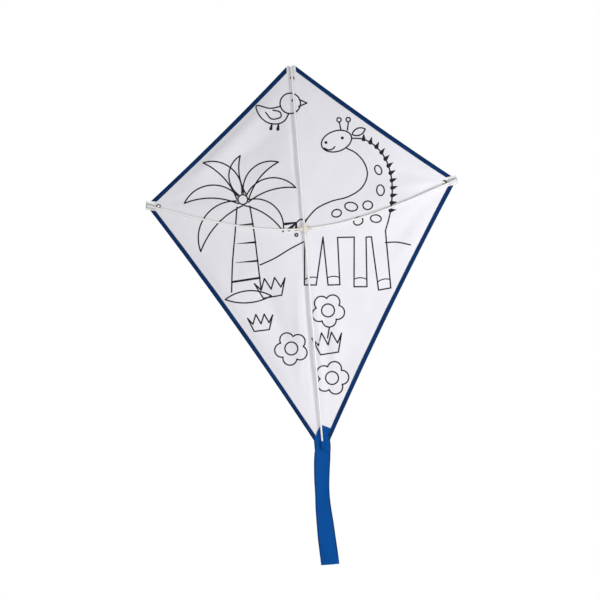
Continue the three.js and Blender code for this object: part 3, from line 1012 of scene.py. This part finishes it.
def stitched(name, lines, length=2.8, gap=1.0, radius=0.22):
    """Rows of stitches along lines of points, each line given with the outward direction of its cloth."""
    shape, shape_faces = stitch_shape(length, radius)
    vertices, faces = [], []
    for line, outward in lines:
        line = resample(line, length + gap)
        outward = unit(outward)
        for a, b in zip(line, line[1:]):
            along = unit(b - a)
            side = unit(np.cross(along, outward))
            up = np.cross(side, along)
            first = len(vertices)
            vertices.extend((a + b) / 2 + shape @ np.array([along, up, side]))
            faces.extend(tuple(first + k for k in face) for face in shape_faces)
    piece = new_piece(name, vertices, faces)
    face_outward(piece)
    return piece


FRONT = (0, -1, 0)
BACK = (0, 1, 0)


# ---------------------------------------------------------------- edge bindings

# The folded tape's section: distance in from the edge, and y
BINDING_OUTSIDE = ((8.0, 3.32), (7.6, 3.16), (5.0, 3.1), (2.4, 3.05), (0.9, 3.25), (0.2, 3.75), (0.0, 4.2),
                   (0.2, 4.65), (0.9, 5.15), (2.4, 5.35), (5.0, 5.3), (7.6, 5.24), (8.0, 5.08))
BINDING_INSIDE = ((7.9, 4.72), (5.0, 4.75), (2.4, 4.75), (1.0, 4.6), (0.72, 4.2), (1.0, 3.8), (2.4, 3.65),
                  (5.0, 3.65), (7.9, 3.68))


def corner_axes(side):
    """The corner, its inward direction and the direction across it, for a side corner."""
    upper = math.atan2(TOP[1] - TIP[1], TIP[0] - TOP[0])
    lower = math.atan2(TIP[1] - FOOT[1], TIP[0] - FOOT[0])
    turn = (lower - upper) / 2
    inward = np.array([-side * math.cos(turn), -math.sin(turn)])
    return np.array([side * TIP[0], TIP[1]]), inward, np.array([-inward[1], inward[0]])


def binding(name, edge, node, cuts, seed):
    """A tape folded over one edge, lightly puckered by its stitching, cut off at the pockets."""
    steps = 260
    point, inward, _ = edge.at(np.linspace(0, 1, steps))
    section = np.array(BINDING_OUTSIDE + BINDING_INSIDE)
    length = np.linalg.norm(edge.end - edge.start)
    run = np.linspace(0, length, steps)
    pucker = 0.10 * np.sin(run / 3.1 + 2 * np.sin(run / 41 + seed)) * np.sin(run / 57 + seed)
    wander = 0.22 * np.sin(run / 63 + 2.1 * seed) + 0.12 * np.sin(run / 17 + seed)
    points = np.zeros((steps, len(section), 3))
    across = np.concatenate([[0], np.cumsum(np.linalg.norm(np.diff(section, axis=0), axis=1))])
    uv = np.zeros((steps, len(section), 2))
    for k, (depth, y) in enumerate(section):
        share = min(1.0, depth / BINDING_WIDTH)
        reach = depth + wander * share
        points[:, k, 0] = point[:, 0] + inward[:, 0] * reach
        points[:, k, 2] = point[:, 1] + inward[:, 1] * reach
        points[:, k, 1] = y + pucker * (1 if y > SAIL_Y else -1) * math.sin(math.pi * min(1, share * 1.15))
        uv[:, k] = np.column_stack([run, np.full(steps, across[k])])
    piece = new_piece(name, points.reshape(-1, 3), bar_faces(steps, len(section)), uv=uv.reshape(-1, 2))
    face_outward(piece, 50)
    count = 200
    seam, normals, _ = edge.at(np.linspace(0.0, 1.0, count))
    seam = seam + normals * SEAM_INSET
    rows = [(np.column_stack([seam[:, 0], np.full(count, y), seam[:, 1]]), outward)
            for y, outward in ((3.08, FRONT), (5.32, BACK))]
    threads = stitched(f"{name}_stitches", rows)
    for at, normal in cuts:
        slice_off(piece, at, normal)
        slice_off(threads, at, normal)
    lay(piece, NAVY_TAPE, threads, NAVY_THREAD)
    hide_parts(node)


def bindings():
    pocket_side = POCKET_HALF + 0.15
    for side, word in SIDES:
        corner, _, across = corner_axes(side)
        upward = across if across[1] > 0 else -across
        above = corner + upward * pocket_side
        below = corner - upward * pocket_side
        top_cut = ((side * pocket_side, 0, 0), (-side, 0, 0))
        tip_cut = ((above[0], 0, above[1]), (-upward[0], 0, -upward[1]))
        low_cut = ((below[0], 0, below[1]), (upward[0], 0, upward[1]))
        foot_cut = ((0, 0, FOOT[1] + 0.6), (0, 0, -1))
        binding(f"binding_upper_{word}", upper_edge(side), f"upper_{word}_binding",
                (top_cut, tip_cut), 1.3 + side)
        binding(f"binding_lower_{word}", lower_edge(side), f"lower_{word}_binding",
                (low_cut, foot_cut), 2.9 + side)


# ---------------------------------------------------------------- sticks and connector

def rounded_radii(count, radius, ends):
    """A bar's radii with its ends eased over a few stations."""
    radii = np.full(count, radius)
    radii[:len(ends)] = [radius * e for e in ends]
    radii[-len(ends):] = [radius * e for e in reversed(ends)]
    return radii


def sticks():
    low, high = SPINE_LOW, SPINE_HIGH
    eased = (0.8, 0.95, 1.0)
    heights = np.concatenate([[low, low + 0.15, low + 0.5], np.linspace(low + 2, high - 2, 60),
                              [high - 0.5, high - 0.15, high]])
    line = np.column_stack([np.zeros_like(heights), np.zeros_like(heights), heights])
    spine = tube("spine", line, rounded_radii(len(line), STICK_RADIUS, eased))
    fit(spine, FIBREGLASS, "frame", "spine_rod")
    for side, word in SIDES:
        x = np.concatenate([[8.7, 8.85, 9.2], np.linspace(12, 280, 70), [282.3, 282.7, 282.85]])
        line = np.column_stack([side * x, np.zeros_like(x), spar_height(x)])
        spar = tube(f"{word}_spar_rod", line, rounded_radii(len(line), STICK_RADIUS, eased))
        fit(spar, FIBREGLASS, wing(side), f"{word}_spar")


def stick_cap(name, node, body, end, inward):
    """A soft cap with a domed end and a rolled lip, over the end of a stick."""
    inward = unit(inward)
    end = np.array(end, float) + inward
    along, radii = np.array([(-0.85, 0.35), (-0.8, 1.2), (-0.6, 2.0), (-0.2, 2.42), (0.6, 2.55), (3, 2.5),
                             (6, 2.45), (8.4, 2.45), (8.7, 2.6), (9.3, 2.6), (9.5, 2.4)]).T
    middle = np.column_stack([end[0] + inward[0] * along, np.zeros_like(along), end[1] + inward[1] * along])
    piece = tube(name, middle, radii)
    fit(piece, CAP_VINYL, body, node)


def caps():
    stick_cap("top_cap", "spine_top_cap", "frame", (0, 302.8), (0, -1))
    stick_cap("foot_cap", "spine_bottom_cap", "frame", (0, -408.3), (0, 1))
    for side, word in SIDES:
        stick_cap(f"{word}_cap", f"{word}_spar_cap", wing(side), *spar_end(side))


def connector():
    """A soft hub on the spine and, each side, a flexible web that swells into a socket for the spar."""
    profile = [(2.45, -11.0), (2.7, -10.9), (2.88, -10.6), (2.95, -10.1), (2.9, -8), (2.85, -6), (2.95, -3),
               (3.0, 0)]
    profile += [(r, -z) for r, z in reversed(profile[:-1])]
    line = np.array([(0, 0, z) for _, z in profile])
    hub = tube("connector_body", line, [r for r, _ in profile], bore=1.9)
    fit(hub, CREAM_VINYL, "frame", "connector_hub")
    # Distance from the spine's middle, half height and half depth of the arm's oval section
    bore = 1.9
    web = ((2.5, 5.2, 1.7), (3.4, 4.6, 1.35), (4.6, 3.7, 1.1), (5.8, 3.3, 1.15), (6.8, 3.2, 1.9),
           (7.8, 3.0, 2.7), (8.6, 2.85, 2.8), (10.5, 2.75, 2.72), (12.0, 2.75, 2.72), (12.3, 2.9, 2.88),
           (12.8, 2.9, 2.88), (13.0, 2.7, 2.7), (13.0, bore, bore), (9.0, bore, bore))
    sides = 36
    angles = np.linspace(0, 2 * math.pi, sides, endpoint=False)
    for side, word in SIDES:
        rings = [np.column_stack([np.full(sides, side * x), deep * np.sin(angles), tall * np.cos(angles)])
                 for x, tall, deep in web]
        arm = new_piece(f"{word}_arm", np.vstack(rings), bar_faces(len(rings), sides))
        face_outward(arm, 45)
        dress(arm, CREAM_VINYL)
        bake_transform(arm)
        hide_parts(f"{word}_connector_arm")


# ---------------------------------------------------------------- corner pockets and rivets

# The flap's front face over a stick: distance from the stick's axis, and y
FLAP_RISE = ((0, -3.05), (1.2, -2.85), (2.1, -2.25), (2.75, -1.3), (3.05, -0.2), (3.25, 1.0), (3.6, 2.1),
             (4.2, 2.85), (5.2, 3.15), (9.5, FRONT_Y))
TAB_FACE = 5.08


def flap_y(distance):
    away, height = np.array(FLAP_RISE).T
    return np.interp(np.abs(distance), away, height)


def corner_pocket(name, node, body, corner, inward, stick_at, stick_inward):
    """Clear tape over a corner: a front flap raised over the stick's end, folded round to a long back tab."""
    corner, inward = np.array(corner, float), unit(inward)
    across = np.array([-inward[1], inward[0]])
    stick_across = np.array([-stick_inward[1], stick_inward[0]])
    # Each row: its distance in from the corner, its share of the way round the fold, and y on the back
    flap = (14.0, 13.6, 12, 10, 8, 6, 4, 2.5, 1.6, 1.25, 0.95, 0.65, 0.35, 0.1, -0.15)
    stations = [(s, 0.0, None) for s in flap]
    stations += [(-0.42, 0.25, None), (-0.52, 0.55, None), (-0.5, 0.85, None)]
    stations += [(s, 1.0, y) for s, y in (
        (-0.35, TAB_FACE - 0.33), (0.2, TAB_FACE - 0.06), (1.2, TAB_FACE), (5, TAB_FACE), (10, TAB_FACE),
        (15, TAB_FACE), (20, TAB_FACE), (25, TAB_FACE), (29, TAB_FACE), (31, 5.09), (32.4, 5.1), (33.4, 5.12),
        (33.9, 5.15))]
    columns = np.concatenate([np.linspace(-1, -0.62, 4), np.linspace(-0.56, 0.56, 37),
                              np.linspace(0.62, 1, 4)])
    rows, uv = [], []
    for s, share, back_y in stations:
        taper = 1.0
        if s > 29.5:
            taper = math.sqrt(max(0.0, 1 - ((s - 29.5) / 4.9) ** 2)) * 0.35 + 0.65
        if back_y is None and s > 13:
            taper = 0.985
        if s < 1.4:
            taper = 0.86 + 0.14 * math.sqrt(max(0.0, 1 - ((1.4 - s) / 1.95) ** 2))
        across_at = columns * POCKET_HALF * taper
        place = corner + s * inward + np.outer(across_at, across)
        height = np.full(len(columns), back_y or 0.0)
        if back_y is None:
            closing = float(smooth(-1.5, 0.5, -s))
            raised = flap_y((place - np.array(stick_at)) @ stick_across) * (1 - closing) + FRONT_Y * closing
            height = raised + (TAB_FACE - 0.33 - raised) * share
        rows.append(np.column_stack([place[:, 0], height, place[:, 1]]))
        uv.append(np.column_stack([across_at, np.full(len(columns), len(rows))]))
    piece = thicken(name, np.array(rows), 0.42, np.array(uv))
    fit(piece, CLEAR_VINYL, body, node)


def rivet(name, node, washer_node, body, at):
    """A domed cap on the sail's front, its shank through the cloth and tape, and a washer behind."""
    angles = [k / 8 * math.pi / 2 for k in range(9)]
    profile = [(3.75 * math.sin(a), 3.0 - 0.95 * math.cos(a)) for a in angles]
    profile += [(3.95, 3.12), (4.35, 3.08), (4.65, 3.16), (4.78, 3.32), (4.72, 3.5), (4.5, 3.6), (1.2, 3.6),
                (1.2, 6.45), (1.0, 6.6), (0, 6.6)]
    cap = turned(name, profile, at)
    fit(cap, NICKEL, body, node)
    ring = [(1.5, 5.72), (3.7, 5.72), (3.95, 5.85), (4.0, 6.05), (3.8, 6.3), (3.3, 6.4), (2.2, 6.36),
            (1.7, 6.2), (1.5, 6.0)]
    washer = turned(name.replace("rivet", "washer"), ring, at)
    fit(washer, NICKEL, body, washer_node)


def pockets():
    corner_pocket("top_pocket", "top_corner_pocket", "frame", (0, TOP[1]), (0, -1), (0, 0), (0, 1))
    rivet("top_rivet", "top_rivet_cap", "top_rivet_washer", "frame", (0, TOP[1] - RIVET_INSET))
    for side, word in SIDES:
        corner, inward, _ = corner_axes(side)
        corner_pocket(f"{word}_pocket", f"{word}_corner_pocket", wing(side), corner, inward, *spar_end(side))
        rivet(f"{word}_rivet", f"{word}_rivet_cap", f"{word}_rivet_washer", wing(side),
              corner + inward * RIVET_INSET)


def eyelet():
    """A black plastic eyelet for the flying line."""
    profile = [(EYELET_BORE, 3.75), (1.0, 3.35), (1.5, 3.02), (2.4, 2.95), (3.4, 3.1), (3.95, 3.4),
               (3.85, 3.6), (1.9, 3.62), (1.9, 4.78), (3.1, 4.8), (3.2, 5.0), (2.9, 5.3), (1.9, 5.4),
               (1.2, 5.25), (EYELET_BORE, 4.9)]
    piece = turned("line_eyelet", profile, EYELET)
    dress(piece, BLACK_PLASTIC)
    bend(piece)
    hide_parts("tow_eyelet")


# ---------------------------------------------------------------- tail

def tail_middle(z):
    """Where the hanging ribbon's middle is: it drifts to the left and comes back a little."""
    line = spline([(-416, -1.2), (-450, -4.5), (-506, -7.8), (-560, -7.0), (-627, -4.1)])
    return np.interp(-np.asarray(z, float), -line[:, 0], line[:, 1], left=-0.4)


def tail_twist(z):
    """The ribbon's turn about its length, in degrees, which narrows it to the eye."""
    line = spline([(-404, 0), (-430, 24), (-462, 33), (-500, 38), (-535, 27), (-585, 9), (-612, 3),
                   (-640, 1)])
    return np.radians(np.interp(-np.asarray(z, float), -line[:, 0], line[:, 1], left=0.0))


def tail_half(z):
    """The ribbon's half width, gathered a little at the foot."""
    return 15.0 + 2.0 * smooth(-410, -436, z)


def ribbon_grid(top, bottom, share=1.0, step=2.2):
    """The ribbon's surface between two heights as rows of points, and each point's place on the cloth."""
    rows = max(2, round((top - bottom) / step) + 1)
    z = np.linspace(top, bottom, rows)[:, None]
    s = np.linspace(-1, 1, 29)[None, :] * share
    half = tail_half(z)
    twist = tail_twist(z)
    free = smooth(-400, -440, z)
    cup = free * (1.6 * (s ** 2 - 0.4) + 0.5 * np.sin(3.1 * s + z / 23))
    cup = cup + 0.25 * np.sin(z / 9 + 4 * s) * s ** 2 * free
    sway = free * (2.2 * np.sin((z + 400) / 60))
    across = half * s
    x = tail_middle(z) + across * np.cos(twist) - cup * np.sin(twist)
    y = RIBBON_Y - 1.3 * (1 - free) + across * np.sin(twist) + cup * np.cos(twist) + sway
    return laid_out(x, y, z)[0], laid_out(across, y, z)[1]


def ribbon_sides(points, inset, offset):
    """Lines down both sides of a ribbon grid, inset from its edge, on its front and back faces."""
    normal = grid_normals(points)
    lines = []
    for column in (inset, points.shape[1] - 1 - inset):
        for sign in (1, -1):
            line = points[:, column] + normal[:, column] * offset * sign
            lines.append((line, normal[:, column].mean(0) * sign))
    return lines


def tail():
    top_edge = -388.0
    head_points, head_uv = ribbon_grid(top_edge, RIBBON_JOIN)
    long_points, long_uv = ribbon_grid(RIBBON_JOIN, HEM_TOP - 1.0)
    head = thicken("tail_head", head_points, 0.45, head_uv)
    length = thicken("tail_length", long_points, 0.45, long_uv)
    edges = []
    for part, points, uv in (("head", head_points, head_uv), ("length", long_points, long_uv)):
        rolls = [thicken(f"{part}_{word}", points[:, columns], 0.95, uv[:, columns])
                 for word, columns in (("left", slice(0, 3)), ("right", slice(-3, None)))]
        edges.append(join(rolls, f"tail_{part}_selvedge"))
    head_threads = stitched("tail_head_stitches", ribbon_sides(head_points, 3, 0.3))
    long_threads = stitched("tail_length_stitches", ribbon_sides(long_points, 3, 0.3))
    for pieces, bodies, (high, low) in (
        ((head, edges[0], head_threads), ("frame", "tail_upper"), SWING_BAND),
        ((length, edges[1], long_threads), ("tail_upper", "tail_lower"), CURL_BAND),
    ):
        # the ribbon, its rolled edges in the blue darkened with painted shade, and its threads
        for piece, material in zip(pieces, (BLUE_RIBBON, BLUE_SELVEDGE_SHADED, BLUE_THREAD)):
            dress(piece, material)
            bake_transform(piece)
    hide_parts("tail_ribbon_upper")
    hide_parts("tail_ribbon_lower")
    hem()
    foot_patch()
    foot_backing()
    spine_pocket()


def hem():
    """The ribbon's end, folded up behind itself and sewn across."""
    points, uv = ribbon_grid(HEM_TOP, RIBBON_END + 0.6, step=1.5)
    normal = grid_normals(points)
    apart = 0.5
    below = unit(np.gradient(points, axis=0)[-1])
    turns = np.radians([60, 30, 0, -30, -60])[:, None, None] * np.ones((1, points.shape[1], 1))
    fold = points[-1] + normal[-1] * apart * np.sin(turns) + below * apart * np.cos(turns)
    rows = np.concatenate([points + normal * apart, fold, (points - normal * apart)[::-1]])
    marks = np.concatenate([uv, [uv[-1] - (0, 0.3)] * len(turns), (uv[-1] * 2 - uv)[::-1]])
    piece = thicken("tail_hem", rows, 0.5, marks)
    seams = [(points[1] + normal[1] * (apart + 0.3) * sign, normal[1].mean(0) * sign) for sign in (1, -1)]
    threads = stitched("tail_hem_stitches", seams)
    for part, material in ((piece, BLUE_RIBBON), (threads, BLUE_THREAD)):
        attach(dress(part, material), "tail_lower")
    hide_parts("tail_end_hem")


def binding_inside(z):
    """Half the width left between the two bindings at a height near the foot."""
    point, inward, _ = lower_edge(1).at(np.linspace(0.8, 1, 60))
    inner = point + inward * (BINDING_WIDTH - 0.5)
    return np.interp(z, inner[::-1, 1], inner[::-1, 0])


def foot_patch():
    """The ribbon's end above the foot, sewn flat on the sail between the bindings, in two halves."""
    for side, word, width, area in ((-1, "left", 0.011, 0.0002), (1, "right", 0.018, 0.00033)):
        v, u = np.linspace(0, 1, 24)[:, None], np.linspace(0, 1, 16)
        top = top_of_patch(side, u)
        z = top + (PATCH_BOTTOM - top) * v
        x = u * binding_inside(z)
        y = 3.35 + np.minimum(0.0, 0.05 - 0.02 * x) + 0.08 * np.sin(x / 3 + z / 7)
        points, uv = laid_out(side * x, y, z)
        piece = thicken(f"foot_patch_{word}", points, 0.4, uv)
        seam = points[0] - (0, 0.22, 2.0)
        threads = stitched(f"foot_patch_{word}_stitches", [(seam, FRONT)])
        lay(piece, BLUE_RIBBON, threads, BLUE_THREAD)


def foot_backing():
    """The ribbon's other end, turned up over the back of the foot and the bindings' ends, in two halves."""
    top, turn, bottom = -384.0, -397.0, -409.0
    for side, word in SIDES:
        z = np.linspace(top, bottom, 22)[:, None]
        outside = np.where(z > FOOT[1] + 1, np.interp(z, WIDTH_Z, WIDTH_X) + 1.2, 15.0)
        x = np.linspace(0, 1, 16) * outside
        y = 3.6 + 2.1 * smooth(bottom + 1, turn, z) + 0.07 * np.sin(x / 3 + z / 6)
        points, uv = laid_out(side * x, y, z)
        piece = thicken(f"foot_backing_{word}", points, 0.4, uv)
        threads = stitched(f"foot_backing_{word}_stitches", [(points[2] + (0, 0.22, 0), BACK)])
        lay(piece, BLUE_RIBBON, threads, BLUE_THREAD)


def top_of_patch(side, share):
    """The patch's slanting top edge: highest beside the spine, steeper on the left."""
    if side > 0:
        return -366.0 - 8.5 * share
    return -366.0 - 21.0 * share ** 0.8


def spine_pocket():
    """A piece of the same ribbon that closes over the spine's foot."""
    top, bottom = -395.2, -416.5
    x = np.concatenate([np.linspace(-13.4, -5, 7), np.linspace(-4.5, 4.5, 31), np.linspace(5, 13.4, 7)])
    z = np.linspace(top, bottom, 22)[:, None]
    front = 2.35
    over = smooth(bottom + 1.5, bottom + 8, z)
    y = front + (np.minimum(flap_y(x * 0.96), front) - front) * over + 0.06 * np.sin(x / 2.2 + z / 5)
    points, uv = laid_out(x, y, z)
    points[0, :, 2] -= 1.2 * np.exp(-(x / 5) ** 2)
    piece = thicken("spine_pocket", points, 0.4, uv)
    border = np.vstack([points[1:, 3], points[-2, 3:-3], points[:0:-1, -4]]) - np.array([0, 0.24, 0])
    threads = stitched("spine_pocket_stitches", [(border, FRONT)])
    for part, material in ((piece, BLUE_RIBBON), (threads, BLUE_THREAD)):
        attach(dress(part, material), "frame")
    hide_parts("tail_pocket")


# ---------------------------------------------------------------- studio

def studio():
    """White surroundings, a soft key from the lower right, a pale floor and a level, slightly rolled view."""
    scene = bpy.context.scene
    scene.view_settings.view_transform = "Standard"
    world = bpy.data.worlds.new("studio")
    scene.world = world
    world.use_nodes = True
    nodes, links = world.node_tree.nodes, world.node_tree.links
    nodes.clear()
    mixed = nodes.new("ShaderNodeMixShader")
    for slot, colour, strength in ((1, (0.985, 0.975, 1.0, 1.0), 0.24), (2, (1, 1, 1, 1), 1.0)):
        light = nodes.new("ShaderNodeBackground")
        light.inputs["Color"].default_value = colour
        light.inputs["Strength"].default_value = strength
        links.new(light.outputs[0], mixed.inputs[slot])
    links.new(nodes.new("ShaderNodeLightPath").outputs["Is Camera Ray"], mixed.inputs[0])
    links.new(mixed.outputs[0], nodes.new("ShaderNodeOutputWorld").inputs[0])

    lamp("key", (0.70, -0.62, -0.22), (0.1, 0, -0.1), 0.30, 4.7)
    lamp("low_fill", (0.1, -0.75, -0.80), (0, 0, -0.2), 0.3, 0.9)
    lamp("left_fill", (-0.75, -0.90, -0.20), (-0.1, 0, -0.05), 0.6, 1.7)
    lamp("front_fill", (-0.32, -2.5, 0.30), (0, 0, -0.1), 0.6, 15.0)
    lamp("back_fill", (-0.6, 2.0, 1.0), (0, 0, -0.1), 1.4, 34.0)

    radius, height, steps = 0.5, -0.85, 64
    angles = [2 * math.pi * k / steps for k in range(steps)]
    ring = [(radius * math.cos(a), radius * math.sin(a), height) for a in angles]
    mesh = bpy.data.meshes.new("floor")
    mesh.from_pydata(ring, [], [tuple(range(steps))])
    floor = link(mesh, "floor")
    floor.data.materials.append(moulded("floor_paint", (0.93, 0.93, 0.93), 0.7, grain=200.0))

    camera = bpy.data.objects.new("camera", bpy.data.cameras.new("camera"))
    scene.collection.objects.link(camera)
    distance, roll, width, sensor = 4.5, math.radians(4.774), 1.1169, 36.0
    target = Vector((-0.0194, 0.003, -0.1313))
    right = Vector((math.cos(roll), 0, -math.sin(roll)))
    up = Vector((math.sin(roll), 0, math.cos(roll)))
    camera.data.sensor_width = sensor
    camera.data.lens = sensor * distance / width
    camera.location = target - Vector((0, distance, 0))
    turn = camera.matrix_world.to_3x3()
    turn.col[0], turn.col[1], turn.col[2] = right, up, Vector((0, -1, 0))
    camera.rotation_mode = "QUATERNION"
    camera.rotation_quaternion = turn.to_quaternion()
    scene.camera = camera


def lamp(name, at, target, size, power):
    data = bpy.data.lights.new(name, "AREA")
    data.shape = "DISK"
    data.size = size
    data.energy = power
    light = bpy.data.objects.new(name, data)
    bpy.context.scene.collection.objects.link(light)
    light.location = at
    light.rotation_mode = "QUATERNION"
    light.rotation_quaternion = (Vector(target) - Vector(at)).to_track_quat("-Z", "Y")


# ---------------------------------------------------------------- assembly

studio()
sticks()
sail()
artwork()
bindings()
caps()
connector()
pockets()
eyelet()
tail()

bpy.context.view_layer.update()
